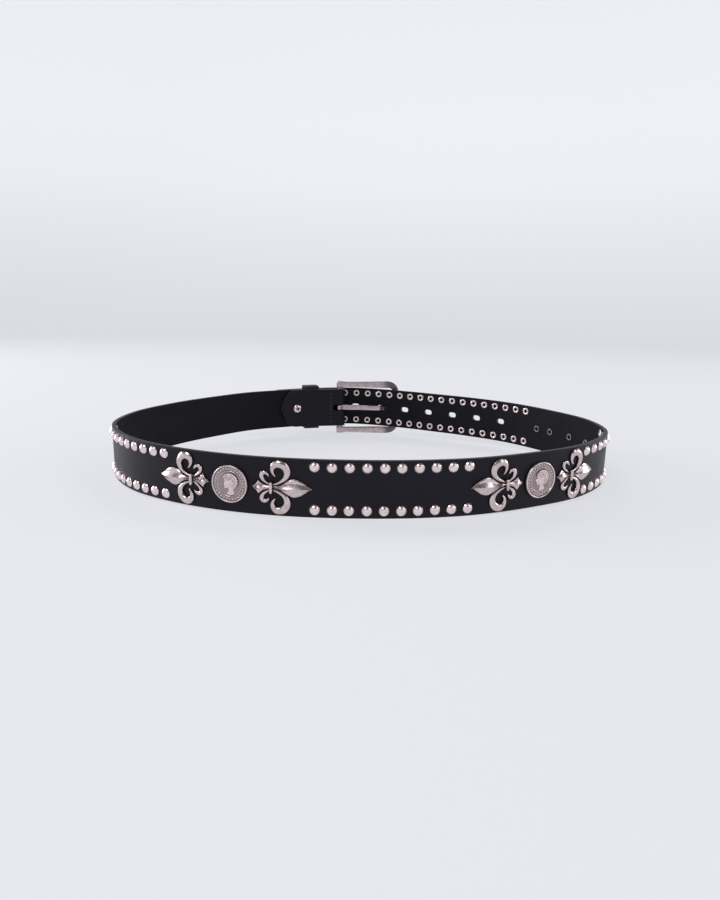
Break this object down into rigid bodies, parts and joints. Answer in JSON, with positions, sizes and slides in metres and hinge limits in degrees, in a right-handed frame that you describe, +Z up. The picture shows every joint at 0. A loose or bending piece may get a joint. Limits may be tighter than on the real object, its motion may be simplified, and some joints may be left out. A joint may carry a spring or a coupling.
{
  "type": "studded belt",
  "caption": "Fastened leather belt with domed studs along both edges, cast fleur and medallion ornaments, a pronged frame buckle and a keeper.",
  "frame": {"origin": "middle of the belt's footprint, on the surface that it stands on", "axes": "+X to the right along the front of the loop, +Y from the front to the buckle, +Z up"},
  "size_m": [0.3888, 0.3122, 0.0547],
  "materials": {
    "black_leather": "smooth black leather with a fine grain, dull on its inner side",
    "keeper_leather": "matt black leather",
    "antique_silver": "antique silver casting, worn bright on its ridges and dark in its hollows"
  },
  "bodies": {
    "root": {"strap": "black_leather", "buckle_frame": "antique_silver", "prong": "antique_silver", "keeper": "keeper_leather", "chape_rivet": "antique_silver", "fleur_1": "antique_silver", "medallion_1": "antique_silver", "fleur_2": "antique_silver", "fleur_3": "antique_silver", "medallion_2": "antique_silver", "fleur_4": "antique_silver", "fleur_5": "antique_silver", "medallion_3": "antique_silver", "fleur_6": "antique_silver"}
  },
  "joints": []
}
